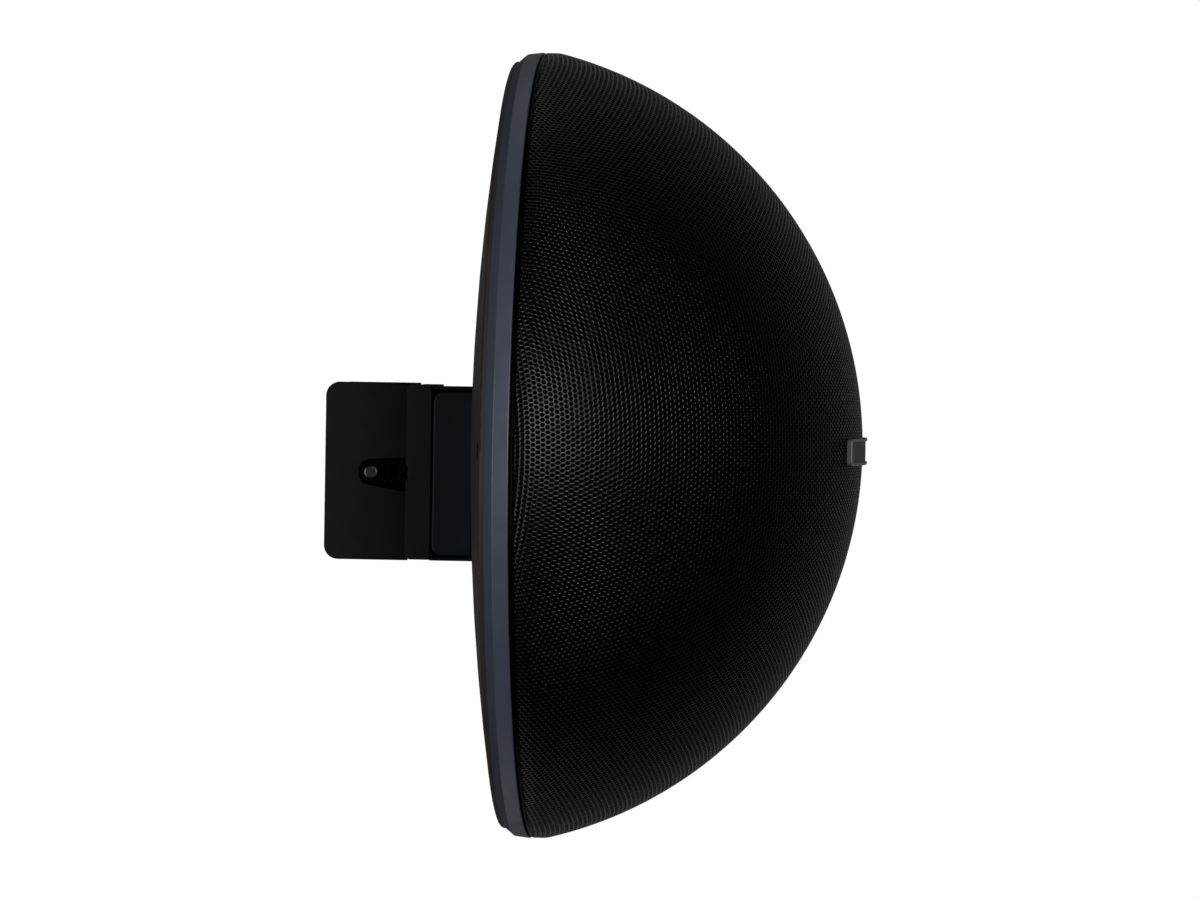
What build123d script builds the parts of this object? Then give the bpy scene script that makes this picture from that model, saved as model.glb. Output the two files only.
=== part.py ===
"""Outdoor patio speaker on a tilting wall bracket.

Millimetres. The wall is the plane X 0, the dome faces +X, Z is up, and the origin is the middle of the
bracket's wall face.
"""
import os
from math import cos, radians, sin, sqrt

from build123d import *

os.makedirs("parts", exist_ok=True)

# Clearances shared by the fits
running = 0.05          # radial, shaft in bush
loose = 0.4             # parts that pass each other
screw_play = 0.25       # radial, screw in a plain hole
thread_play = 0.05      # radial, screw in its tapped hole

# Head: the axis and the dome, a sphere that gives way to a tighter curve at its edge
axis_z = 12.9           # head axis above the middle of the bracket
dome_radius = 190.5
dome_x = 61.0           # centre of that sphere
blend_angle = radians(14.3)
blend_radius = 13.0
dome_halfway = radians(35.0)    # any point between the apex and the blend
edge_x = dome_x + (dome_radius - blend_radius) * sin(blend_angle)
edge_radius = (dome_radius - blend_radius) * cos(blend_angle) + blend_radius

# Grille: hem behind the dome's edge, push-fit skirt, and the scrim inside
sheet = 1.2
hem_depth = 5.1
hem_gap = 0.7           # groove between hem and rim
hem_x = edge_x - hem_depth
skirt_step = 6.0        # from the dome's edge in to the skirt
skirt_radius = edge_radius - skirt_step
seal_height = 1.0
scrim_gap = 0.3
scrim_sheet = 0.8

# Rim ring between the dome and the back shell
rim_overlap = 0.2       # how far the rim stands out past the dome's edge
rim_width = 11.0
rim_chamfer = 4.0       # width of the slope behind the rim's crease
rim_slope = 0.8         # fall of the band from its front to the crease
rim_turn = 3.4          # further fall of the slope
rim_crown = 1.4
ledge_height = 3.4
ledge_depth = 12.0
rim_radius = edge_radius + rim_overlap
rim_front_x = hem_x - hem_gap
rim_back_x = rim_front_x - rim_width
rim_bore = skirt_radius + loose
ledge_x = rim_back_x + ledge_height     # front of the rim's inner ledge
ledge_radius = rim_bore - ledge_depth

# Badge bar on the dome's apex
badge_length = 104.0
badge_height = 12.4
badge_corner = 2.4
badge_rise = 2.2
badge_field = 0.8       # depth of the sunk field
badge_border = 1.3
badge_stud_radius = 1.5
badge_stud_angle = radians(12.0)
badge_stud_length = 5.0
clip_radius = 3.6
clip_height = 0.8

# Back shell
shell_inset = 4.4       # its edge stands inside the rim
shell_sphere = 1050.0
shell_wall = 3.5
shell_lap = 2.0         # depth of its edge behind the rim
land_gap = 2.0
land_width = 8.0
land_squeeze = 0.8      # gasket thickness
pad_rise = 0.35         # flat pad that the neck bolts against, proud of the dish's pole
shell_edge_radius = rim_radius - shell_inset
shell_edge_x = rim_back_x - shell_lap
shell_pole_x = shell_edge_x - shell_sphere + sqrt(shell_sphere ** 2 - shell_edge_radius ** 2)
pad_x = shell_pole_x - pad_rise
land_x = ledge_x - land_squeeze         # front of the sealing land
land_outer = ledge_radius - land_gap
land_inner = land_outer - land_width
cabinet_screw_count = 8
cabinet_screw_inset = 12.6
cabinet_screw_circle = rim_radius - cabinet_screw_inset
cabinet_screw_radius = 2.0
cabinet_head_radius = 4.0
cabinet_head_height = 1.6
cabinet_web = 1.4       # shell left under each screw head
cabinet_seat_x = rim_back_x - cabinet_web
cabinet_boss_height = 11.6

# Baffle bowl, which follows the dome inside it
bowl_gap = 12.5
bowl_wall = 4.0
bowl_halfway = radians(62.0)    # any point between the seat and the foot
bowl_flange = 4.0
bowl_radius = dome_radius - bowl_gap
bowl_flange_radius = skirt_radius - sheet - seal_height

# Woofer
flange_radius = 104.0
flange_thickness = 3.0
flange_width = 16.0
seat_relief = 4.5       # the seat's opening clears the basket by this much
woofer_screw_count = 8
woofer_screw_inset = 3.0
woofer_screw_radius = 2.0
woofer_head_radius = 3.8
woofer_head_height = 2.0
woofer_boss_depth = 14.0
woofer_gasket_width = 5.6
woofer_gasket_height = 2.4
basket_wall = 2.5
spoke_count = 6
motor_depth = 52.0      # front of the motor behind the seat
top_plate_thickness = 8.0
top_plate_radius = 46.0
magnet_height = 18.0
magnet_radius = 52.0
magnet_bore = 28.0
yoke_height = 8.0
yoke_radius = 46.0
pole_radius = 17.9
vent_radius = 5.0
former_inner = 18.5
former_outer = 19.1
former_length = 41.0
winding_outer = 20.1
winding_length = 15.0
coil_gap = 0.6
cone_depth = 31.0
cone_sheet = 0.9
neck_lap = 4.0          # former in front of the cone's neck
surround_inset = 6.0    # surround's outer edge inside the flange's
surround_lap = 3.5      # surround glued on the cone
roll_radius = 5.6
roll_inset = 16.4       # middle of the roll inside the flange's edge
surround_sheet = 0.8
spider_depth = 40.1     # spider's ledge behind the seat
spider_outer = 60.0
spider_wave = 1.6
spider_waves = 5
spider_points = 8       # of the curve, for each wave
spider_sheet = 0.7
dust_cap_radius = 26.0
dust_cap_rise = 8.0
flange_inner = flange_radius - flange_width
seat_opening = flange_inner + seat_relief
woofer_screw_circle = flange_radius - woofer_screw_inset
woofer_gasket_inner = flange_radius - woofer_gasket_width
surround_outer = flange_radius - surround_inset
roll_circle = flange_radius - roll_inset
cone_edge_radius = roll_circle - roll_radius
surround_inner = cone_edge_radius - surround_lap
gap_outer = winding_outer + coil_gap    # bore of the top plate

# Seat for the woofer and the bridge's feet: a flat cut across the bowl
bridge_foot_gap = 2.0   # from the woofer's flange to each foot
bridge_foot_depth = 10.0
seat_margin = 6.6       # bowl left outside the feet
bridge_foot = flange_radius + bridge_foot_gap
seat_edge = bridge_foot + bridge_foot_depth + seat_margin
seat_x = dome_x + sqrt(bowl_radius ** 2 - seat_edge ** 2)
flange_x = seat_x + flange_thickness
motor_x = seat_x - motor_depth
top_plate_x = motor_x - top_plate_thickness
magnet_x = top_plate_x - magnet_height
yoke_x = magnet_x - yoke_height
ledge_back_x = seat_x - spider_depth
cone_back_x = flange_x - cone_depth
former_front_x = cone_back_x + neck_lap
former_back_x = former_front_x - former_length

# Tweeter on its bridge
bridge_width = 30.0
bridge_rise = 21.0      # top of the bridge in front of the seat
bridge_thickness = 5.4
bridge_foot_height = 8.0
bridge_shoulder = 20.0  # how far the arch slopes in from the foot
bridge_screw_radius = 1.6
bridge_screw_offset = 9.0
bridge_head_radius = 2.8
bridge_head_height = 1.6
pod_radius = 27.0
pod_wall = 5.0
pod_height = 11.0
face_thickness = 4.0
tweeter_opening = 15.5
tweeter_dome = 14.5
tweeter_rise = 4.6
tweeter_coil = 12.8
tweeter_sheet = 0.5
cup_radius = 18.0
cup_wall = 3.0
tweeter_magnet_radius = 12.0
tweeter_screw_radius = 1.2
tweeter_screw_count = 3
bridge_screw_circle = bridge_foot + bridge_foot_depth / 2
bridge_knee = bridge_foot - bridge_shoulder
bridge_foot_x = seat_x + bridge_foot_height
bridge_top_x = seat_x + bridge_rise
bridge_under_x = bridge_top_x - bridge_thickness
pod_front_x = bridge_top_x + pod_height
face_front_x = pod_front_x + face_thickness
tweeter_screw_circle = pod_radius - pod_wall / 2

# Crossover board on the back shell's posts
board_x = shell_edge_x
board_thickness = 1.6
board_width = 110.0
board_height = 62.0
board_middle = 78.0     # above the head axis
board_inset = 5.0
board_screw_radius = 1.5
post_radius = 4.0
post_y = board_width / 2 - board_inset
post_z = board_height / 2 - board_inset
board_z = axis_z + board_middle
board_front_x = board_x + board_thickness
coil_radius = 17.0
coil_height = 14.0
capacitor_radius = 7.0
capacitor_length = 30.0
capacitor_offset = 18.0
resistor_length = 24.0
resistor_side = 9.0
block_width = 18.0
block_height = 12.0

# Wall bracket
bracket_half_height = 41.6
bracket_corner = 6.5
cheek_outer = 26.0
cheek = 3.0
web = 3.0
web_inset = 11.6        # top and bottom of the wall web inside the cheeks'
web_half_height = bracket_half_height - web_inset
edge_round = 0.9
cheek_shoulder_x = 39.3
cheek_front_x = 44.6
cheek_front_half = 12.0
pin_x = 21.8            # tilt axis, at the round end of the cheeks' slots
pin_z = -0.5
slot_radius = 6.2
slot_rise = 7.5         # half width of the slot at its mouth, above and below the pin
slot_drop = 11.0
wall_slot_y = 13.5
wall_slot_z = 20.0
wall_slot_length = 9.0
wall_slot_width = 5.6
grommet_radius = 7.0
grommet_bore = 4.0
grommet_lip = 2.4

# Tilt hub, neck and their fixings
hub_back_x = 38.5
hub_front_x = 50.0
hub_wall = 3.0
hub_outer = 30.0
hub_inset = 0.6         # top and bottom of the hub inside the cheeks'
hub_half_height = bracket_half_height - hub_inset
hub_corner = 3.0
bush_flange = 2.4       # thickness, with its fit against the cheek
barrel_half = cheek_outer - cheek - bush_flange     # half length of the pivot barrel
barrel_radius = 7.0
arm_y = 15.4
arm_radius = 3.7
arm_step = 1.2          # bare arm in front of the barrel
arm_collar = 4.9
arm_collar_width = 2.4
arm_collar_pitch = 4.4
arm_boss = 5.6
rib_thickness = 4.0     # web between the arms
rib_half_height = 13.0
hub_notch = 4.2
bush_flange_radius = 8.6
bush_spigot = 0.9
bolt_radius = 3.0
bolt_depth = 12.0
bolt_head_radius = 4.1
bolt_head_height = 2.4
bolt_dome = 2.1         # rounding of that head
lock_x = 42.8
lock_head_radius = 5.0
lock_head_height = 6.0
lock_key_radius = 2.6
lock_key_depth = 3.0
washer_radius = 7.0
washer_height = 1.2
neck_z = -0.6
neck_inset = 0.2        # top and bottom of the neck inside the hub's
neck_half_height = hub_half_height - neck_inset
neck_half_width = 27.2
neck_lip = 1.3          # flange above and below each side cap
neck_lip_width = 29.6
neck_corner = 1.6
cap_gap = 1.1           # dark joint round each side cap
cap_corner = 5.0
cap_rise = 2.6
neck_screw_y = 15.0
neck_screw_z = 29.0
neck_screw_radius = 2.5
neck_head_radius = 4.2
neck_head_height = 3.0
neck_boss_radius = 5.0
neck_boss_back_x = 40.5
duct_z = 17.0
duct_radius = 8.0
gland_radius = 7.0
gland_bore = 4.0
gland_lip_radius = 10.0
gland_lip = 2.5

head_plane = Plane(origin=(0, 0, axis_z), x_dir=(1, 0, 0), z_dir=(0, -1, 0))
head_axis = Axis((0, 0, axis_z), (1, 0, 0))


def across(x, z=0.0):
    """A plane facing along +X at distance x from the wall, its middle at height z."""
    return Plane(origin=(x, 0, z), x_dir=(0, 1, 0), z_dir=(1, 0, 0))


def head_section(x):
    """A plane square to the head's axis."""
    return across(x, axis_z)


def outward(side, depth, x, z):
    """A plane facing out of one side of the bracket; side is 1 or -1."""
    return Plane(origin=(x, side * depth, z), x_dir=(1, 0, 0), z_dir=(0, side, 0))


def arm_section(side, x):
    """A plane square to one of the hub's arms; side is 1 or -1."""
    return Plane(origin=(x, side * arm_y, pin_z), x_dir=(0, 1, 0), z_dir=(1, 0, 0))


def disc(plane, outer, inner=0.0):
    """A round face, or a ring where inner is given."""
    with BuildSketch(plane) as face:
        Circle(outer)
        if inner > 0:
            Circle(inner, mode=Mode.SUBTRACT)
    return face.sketch


def slab(plane, width, height):
    """A rectangular face about the plane's origin."""
    with BuildSketch(plane) as face:
        Rectangle(width, height)
    return face.sketch


def ring_of_discs(plane, circle, count, radius, start=0.0):
    """Equal round faces spaced round a circle."""
    with BuildSketch(plane) as faces:
        with PolarLocations(circle, count, start_angle=start):
            Circle(radius)
    return faces.sketch


def grid_of_discs(plane, half_width, half_height, radius):
    """Four round faces at the corners of a rectangle."""
    with BuildSketch(plane) as faces:
        with GridLocations(2 * half_width, 2 * half_height, 2, 2):
            Circle(radius)
    return faces.sketch


def outline(plane, points):
    """A face with straight sides."""
    with BuildSketch(plane) as face:
        with BuildLine():
            Polyline(*points, close=True)
        make_face()
    return face.sketch


def on_sphere(radius):
    """A point part way along the dome's arc."""
    return Vector(dome_x + radius * cos(dome_halfway), radius * sin(dome_halfway))


def bowl_point(radius):
    """A point part way along the bowl's arc."""
    return Vector(dome_x + radius * cos(bowl_halfway), radius * sin(bowl_halfway))


def dome_profile(outer, tuck, thickness):
    """Half section of a dome shell: sphere, then a tighter curve that ends square to the rim plane.

    outer is the sphere's radius, tuck the edge curve's radius, both at the outside of the shell."""
    centre = (edge_x, edge_radius - blend_radius)
    lean = Vector(sin(blend_angle), cos(blend_angle))
    middle = Vector(sin(blend_angle / 2), cos(blend_angle / 2))
    with BuildSketch(head_plane) as section:
        with BuildLine():
            start = (dome_x + outer, 0)
            joint = Vector(dome_x, 0) + lean * outer
            foot = Vector(centre[0], centre[1] + tuck)
            ThreePointArc(start, on_sphere(outer), joint)
            ThreePointArc(joint, Vector(*centre) + middle * tuck, foot)
            inner_foot = Vector(centre[0], centre[1] + tuck - thickness)
            Line(foot, inner_foot)
            inner_joint = Vector(dome_x, 0) + lean * (outer - thickness)
            ThreePointArc(inner_foot, Vector(*centre) + middle * (tuck - thickness), inner_joint)
            inner_start = (dome_x + outer - thickness, 0)
            ThreePointArc(inner_joint, on_sphere(outer - thickness), inner_start)
            Line(inner_start, start)
        make_face()
    return section.sketch


def cap_profile(x, radius, rise, thickness):
    """Half section of a shallow dome shell that starts at distance x and rises away from the wall."""
    curve = (radius ** 2 + rise ** 2) / (2 * rise)
    centre_x = x + rise - curve
    half = radius / 2
    inner = curve - thickness
    inner_radius = sqrt(inner ** 2 - (x - centre_x) ** 2)
    with BuildSketch(head_plane) as section:
        with BuildLine():
            ThreePointArc((x, radius), (centre_x + sqrt(curve ** 2 - half ** 2), half), (x + rise, 0))
            Line((x + rise, 0), (x + rise - thickness, 0))
            ThreePointArc((x + rise - thickness, 0), (centre_x + sqrt(inner ** 2 - half ** 2), half),
                          (x, inner_radius))
            Line((x, inner_radius), (x, radius))
        make_face()
    return section.sketch


def domed_column(width, height, corner, border, radius):
    """A bar along the head's axis, ended by a sphere about the dome's centre; hollow if border is given."""
    with BuildPart() as column:
        with BuildSketch(head_section(dome_x)):
            RectangleRounded(width, height, corner)
            if border > 0:
                RectangleRounded(width - 2 * border, height - 2 * border, corner - border / 2,
                                 mode=Mode.SUBTRACT)
        extrude(amount=2 * radius)
        with Locations((dome_x, 0, axis_z)):
            Sphere(radius, mode=Mode.INTERSECT)
    return column.part


# Wall bracket: a cast channel, its web on the wall and a flared slot open at the front of each cheek
with BuildPart() as wall_bracket:
    with BuildSketch(Plane.XZ) as cheek_face:
        with BuildLine():
            Polyline((0, -bracket_half_height), (cheek_shoulder_x, -bracket_half_height),
                     (cheek_front_x, -cheek_front_half), (cheek_front_x, cheek_front_half),
                     (cheek_shoulder_x, bracket_half_height), (0, bracket_half_height), close=True)
        make_face()
        fillet(cheek_face.vertices().group_by(Axis.X)[0], bracket_corner)
    extrude(amount=cheek_outer, both=True)
    rear_edges = wall_bracket.edges().filter_by(Axis.Z).group_by(Axis.X)[0]
    fillet(rear_edges, edge_round)
    cheek_inner = cheek_outer - cheek
    with BuildSketch(Plane.XY):
        with Locations((web, 0)):
            Rectangle(cheek_front_x, 2 * cheek_inner, align=(Align.MIN, Align.CENTER))
    extrude(amount=bracket_half_height, both=True, mode=Mode.SUBTRACT)
    for way in (-1, 1):
        extrude(slab(Plane.XY.offset(way * web_half_height), 2 * web, 2 * cheek_inner),
                amount=way * bracket_half_height, mode=Mode.SUBTRACT)
    extrude(disc(outward(1, 0, pin_x, pin_z), slot_radius), amount=cheek_outer, both=True, mode=Mode.SUBTRACT)
    mouth = outline(Plane.XZ, [(pin_x, pin_z - slot_radius), (cheek_front_x + web, pin_z - slot_drop),
                               (cheek_front_x + web, pin_z + slot_rise), (pin_x, pin_z + slot_radius)])
    extrude(mouth, amount=cheek_outer, both=True, mode=Mode.SUBTRACT)
    with BuildSketch(across(0)):
        Circle(grommet_radius)
        with GridLocations(2 * wall_slot_y, 2 * wall_slot_z, 2, 2):
            SlotOverall(wall_slot_length, wall_slot_width)
    extrude(amount=web, mode=Mode.SUBTRACT)
wall_bracket.part.label = "wall_bracket"
export_step(wall_bracket.part, "parts/wall_bracket.step")

# Grommet that lines the cable hole in the web
with BuildPart() as cable_grommet:
    extrude(disc(across(running), grommet_radius - running, grommet_bore), amount=web)
    extrude(disc(across(web), grommet_radius + grommet_lip, grommet_bore), amount=grommet_lip)
cable_grommet.part.label = "cable_grommet"
export_step(cable_grommet.part, "parts/cable_grommet.step")

# Tilt hub: side walls outside the cheeks, a front wall, and two arms back to a barrel on the tilt axis
with BuildPart() as tilt_hub:
    with BuildSketch(Plane.XZ) as hub_face:
        with Locations((hub_back_x, 0)):
            Rectangle(hub_front_x - hub_back_x, 2 * hub_half_height, align=(Align.MIN, Align.CENTER))
        fillet(hub_face.vertices().group_by(Axis.X)[0], hub_corner)
    extrude(amount=hub_outer, both=True)
    hub_inner = cheek_outer + loose
    wall_x = hub_front_x - hub_wall
    with BuildSketch(Plane.XY):
        with Locations((wall_x, 0)):
            Rectangle(hub_front_x, 2 * hub_inner, align=(Align.MAX, Align.CENTER))
    extrude(amount=bracket_half_height, both=True, mode=Mode.SUBTRACT)
    extrude(disc(outward(1, 0, pin_x, pin_z), barrel_radius), amount=barrel_half, both=True)
    with BuildSketch(Plane.XZ):
        with Locations((pin_x, pin_z)):
            Rectangle(wall_x - pin_x, 2 * rib_half_height, align=(Align.MIN, Align.CENTER))
    extrude(amount=rib_thickness / 2, both=True)
    for side in (-1, 1):
        first_collar_x = pin_x + barrel_radius + arm_step
        second_collar_x = first_collar_x + arm_collar_pitch
        extrude(disc(arm_section(side, pin_x), arm_radius), amount=wall_x - pin_x)
        extrude(disc(arm_section(side, first_collar_x), arm_collar), amount=arm_collar_width)
        extrude(disc(arm_section(side, second_collar_x), arm_collar), amount=arm_collar_width)
        extrude(disc(arm_section(side, hub_back_x), arm_boss), amount=wall_x - hub_back_x)
    extrude(grid_of_discs(across(neck_boss_back_x, neck_z), neck_screw_y, neck_screw_z, neck_boss_radius),
            amount=wall_x - neck_boss_back_x)
    extrude(grid_of_discs(across(neck_boss_back_x, neck_z), neck_screw_y, neck_screw_z,
                          neck_screw_radius + thread_play), amount=hub_front_x, mode=Mode.SUBTRACT)
    extrude(disc(across(wall_x, duct_z), duct_radius), amount=hub_wall, mode=Mode.SUBTRACT)
    for side in (-1, 1):
        extrude(disc(outward(side, barrel_half - bolt_depth, pin_x, pin_z), bolt_radius + thread_play),
                amount=bolt_depth, mode=Mode.SUBTRACT)
        extrude(disc(outward(side, cheek_outer, hub_back_x - hub_notch / 2, pin_z), hub_notch),
                amount=hub_outer, mode=Mode.SUBTRACT)
    extrude(disc(outward(1, hub_wall - hub_outer, lock_x, pin_z), bolt_radius + thread_play),
            amount=2 * hub_outer, mode=Mode.SUBTRACT)
tilt_hub.part.label = "tilt_hub"
export_step(tilt_hub.part, "parts/tilt_hub.step")

# Tilt bushes: a friction flange against each cheek and a low spigot in the slot's round end
with BuildPart() as tilt_bushes:
    cheek_face_y = cheek_outer - cheek
    flange_end = cheek_face_y - running
    for side in (-1, 1):
        extrude(disc(outward(side, barrel_half, pin_x, pin_z), bush_flange_radius),
                amount=flange_end - barrel_half)
        extrude(disc(outward(side, flange_end, pin_x, pin_z), slot_radius - running), amount=bush_spigot)
        extrude(disc(outward(side, barrel_half, pin_x, pin_z), bolt_radius + screw_play), amount=cheek_outer,
                mode=Mode.SUBTRACT)
tilt_bushes.part.label = "tilt_bushes"
export_step(tilt_bushes.part, "parts/tilt_bushes.step")

# Domed pivot bolts, one from each side
with BuildPart() as tilt_bolts:
    bolt_seat_y = flange_end + bush_spigot
    bolt_tip_y = barrel_half - bolt_depth + loose
    for side in (-1, 1):
        extrude(disc(outward(side, bolt_tip_y, pin_x, pin_z), bolt_radius), amount=bolt_seat_y - bolt_tip_y)
        extrude(disc(outward(side, bolt_seat_y, pin_x, pin_z), bolt_head_radius), amount=bolt_head_height)
    dome_edges = tilt_bolts.edges().filter_by(GeomType.CIRCLE).group_by(Axis.Y)
    fillet(dome_edges[0] + dome_edges[-1], bolt_dome)
tilt_bolts.part.label = "tilt_bolts"
export_step(tilt_bolts.part, "parts/tilt_bolts.step")

# Lock bolt that pinches hub and cheeks together, its head on the far side
with BuildPart() as lock_bolt:
    head_y = hub_outer + washer_height
    extrude(disc(outward(1, loose + hub_wall - hub_outer, lock_x, pin_z), bolt_radius),
            amount=head_y + hub_outer - hub_wall - loose)
    extrude(disc(outward(1, head_y, lock_x, pin_z), lock_head_radius), amount=lock_head_height)
    fillet(lock_bolt.edges().filter_by(GeomType.CIRCLE).group_by(Axis.Y)[-1], edge_round)
    with BuildSketch(outward(1, head_y + lock_head_height, lock_x, pin_z)):
        RegularPolygon(lock_key_radius, 6)
    extrude(amount=-lock_key_depth, mode=Mode.SUBTRACT)
lock_bolt.part.label = "lock_bolt"
export_step(lock_bolt.part, "parts/lock_bolt.step")

# Washer under the lock bolt's head
with BuildPart() as lock_washer:
    extrude(disc(outward(1, hub_outer, lock_x, pin_z), washer_radius, bolt_radius + screw_play),
            amount=washer_height)
lock_washer.part.label = "lock_washer"
export_step(lock_washer.part, "parts/lock_washer.step")

# Neck between the hub and the back shell, with a cable duct through it and a flange above and below each cap
with BuildPart() as neck:
    with BuildSketch(across(hub_front_x, neck_z)):
        RectangleRounded(2 * neck_lip_width, 2 * neck_half_height, neck_corner)
    extrude(amount=pad_x - hub_front_x)
    for side in (-1, 1):
        with BuildSketch(outward(side, neck_half_width, hub_front_x, neck_z)):
            Rectangle(2 * (pad_x - hub_front_x), 2 * (neck_half_height - neck_lip))
        extrude(amount=neck_lip_width, mode=Mode.SUBTRACT)
    extrude(disc(across(hub_front_x, duct_z), duct_radius + gland_lip), amount=pad_x, mode=Mode.SUBTRACT)
    extrude(grid_of_discs(across(hub_front_x, neck_z), neck_screw_y, neck_screw_z,
                          neck_screw_radius + screw_play), amount=pad_x, mode=Mode.SUBTRACT)
neck.part.label = "neck"
export_step(neck.part, "parts/neck.step")

# Side caps on the neck, rounded at the hub's end
with BuildPart() as neck_caps:
    cap_back_x = hub_front_x + cap_gap
    cap_length = pad_x - loose - cap_back_x
    cap_height = 2 * (neck_half_height - neck_lip - cap_gap)
    for side in (-1, 1):
        with BuildSketch(outward(side, neck_half_width, cap_back_x, neck_z)) as cap_face:
            Rectangle(cap_length, cap_height, align=(Align.MIN, Align.CENTER))
            fillet(cap_face.vertices().group_by(Axis.X)[0], cap_corner)
        extrude(amount=cap_rise)
    cap_rims = neck_caps.faces().filter_by(Axis.Y).group_by(Axis.Y)
    fillet(cap_rims[0].edges() + cap_rims[-1].edges(), edge_round)
neck_caps.part.label = "neck_caps"
export_step(neck_caps.part, "parts/neck_caps.step")

# Back shell: a shallow dish with a flat pad for the neck, a sealing land and posts for the crossover board
with BuildPart() as back_shell:
    shell_centre_x = shell_pole_x + shell_sphere
    shell_inner = shell_sphere - shell_wall
    half_edge = shell_edge_radius / 2
    half_land = land_inner / 2
    with BuildSketch(head_plane) as shell_face:
        with BuildLine():
            half_edge_x = shell_centre_x - sqrt(shell_sphere ** 2 - half_edge ** 2)
            ThreePointArc((shell_pole_x, 0), (half_edge_x, half_edge), (shell_edge_x, shell_edge_radius))
            land_foot_x = shell_centre_x - sqrt(shell_inner ** 2 - land_inner ** 2)
            Polyline((shell_edge_x, shell_edge_radius), (rim_back_x, shell_edge_radius),
                     (rim_back_x, land_outer), (land_x, land_outer), (land_x, land_inner),
                     (land_foot_x, land_inner))
            ThreePointArc((land_foot_x, land_inner),
                          (shell_centre_x - sqrt(shell_inner ** 2 - half_land ** 2), half_land),
                          (shell_pole_x + shell_wall, 0))
            Line((shell_pole_x + shell_wall, 0), (shell_pole_x, 0))
        make_face()
        fillet(shell_face.vertices().group_by(Axis.Y)[-1].sort_by(Axis.X)[0], edge_round)
    revolve(axis=head_axis)
    with BuildSketch(across(pad_x, neck_z)):
        Rectangle(2 * neck_half_width, 2 * neck_half_height)
    extrude(amount=shell_pole_x + shell_wall - pad_x)
    for rise in (board_middle - post_z, board_middle + post_z):
        wall_middle = shell_sphere - shell_wall / 2
        post_foot_x = shell_centre_x - sqrt(wall_middle ** 2 - post_y ** 2 - rise ** 2)
        with BuildSketch(across(board_x, axis_z + rise)):
            with GridLocations(2 * post_y, 0, 2, 1):
                Circle(post_radius)
        extrude(amount=post_foot_x - board_x)
    extrude(grid_of_discs(across(board_x, board_z), post_y, post_z, board_screw_radius + thread_play),
            amount=-board_inset, mode=Mode.SUBTRACT)
    neck_seat_x = shell_pole_x + shell_wall
    extrude(grid_of_discs(across(neck_seat_x, neck_z), neck_screw_y, neck_screw_z, neck_head_radius + loose),
            amount=board_inset, mode=Mode.SUBTRACT)
    extrude(disc(across(neck_seat_x, duct_z), gland_lip_radius + loose), amount=board_inset,
            mode=Mode.SUBTRACT)
    extrude(disc(across(pad_x, duct_z), gland_radius), amount=board_x, mode=Mode.SUBTRACT)
    extrude(grid_of_discs(across(pad_x, neck_z), neck_screw_y, neck_screw_z, neck_screw_radius + screw_play),
            amount=board_x, mode=Mode.SUBTRACT)
    extrude(ring_of_discs(head_section(pad_x), cabinet_screw_circle, cabinet_screw_count,
                          cabinet_screw_radius + screw_play), amount=land_x, mode=Mode.SUBTRACT)
    extrude(ring_of_discs(head_section(pad_x), cabinet_screw_circle, cabinet_screw_count,
                          cabinet_head_radius + loose), amount=cabinet_seat_x - pad_x, mode=Mode.SUBTRACT)
back_shell.part.label = "back_shell"
export_step(back_shell.part, "parts/back_shell.step")

# Screws from inside the shell, through the neck into the hub
with BuildPart() as neck_screws:
    screw_tip_x = neck_boss_back_x + loose
    extrude(grid_of_discs(across(screw_tip_x, neck_z), neck_screw_y, neck_screw_z, neck_screw_radius),
            amount=neck_seat_x - screw_tip_x)
    extrude(grid_of_discs(across(neck_seat_x, neck_z), neck_screw_y, neck_screw_z, neck_head_radius),
            amount=neck_head_height)
neck_screws.part.label = "neck_screws"
export_step(neck_screws.part, "parts/neck_screws.step")

# Gland that seals the cable's way through the back shell, inside the neck's duct
with BuildPart() as cable_gland:
    extrude(disc(across(pad_x, duct_z), gland_radius - running, gland_bore), amount=neck_seat_x - pad_x)
    extrude(disc(across(pad_x - gland_lip, duct_z), gland_lip_radius, gland_bore), amount=gland_lip)
    extrude(disc(across(neck_seat_x, duct_z), gland_lip_radius, gland_bore), amount=gland_lip)
cable_gland.part.label = "cable_gland"
export_step(cable_gland.part, "parts/cable_gland.step")

# Rim ring: an outer band and an inner ledge clamped between shell and bowl
with BuildPart() as rim_ring:
    with BuildSketch(head_plane) as rim_face:
        with BuildLine():
            crease_radius = rim_radius - rim_slope
            Polyline((rim_back_x, ledge_radius), (rim_back_x, crease_radius - rim_turn),
                     (rim_back_x + rim_chamfer, crease_radius), (rim_front_x, rim_radius),
                     (rim_front_x, rim_bore), (ledge_x, rim_bore), (ledge_x, ledge_radius), close=True)
        make_face()
        rim_corners = rim_face.vertices().sort_by(Axis.Y)
        fillet(rim_corners[-2:], rim_crown)
    revolve(axis=head_axis)
    extrude(ring_of_discs(head_section(rim_back_x), cabinet_screw_circle, cabinet_screw_count,
                          cabinet_screw_radius + screw_play), amount=ledge_x - rim_back_x, mode=Mode.SUBTRACT)
rim_ring.part.label = "rim_ring"
export_step(rim_ring.part, "parts/rim_ring.step")

# Gasket between the shell's land and the bowl's flange
with BuildPart() as cabinet_gasket:
    extrude(disc(head_section(land_x), land_outer - loose, land_inner + loose), amount=ledge_x - land_x)
cabinet_gasket.part.label = "cabinet_gasket"
export_step(cabinet_gasket.part, "parts/cabinet_gasket.step")

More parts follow.
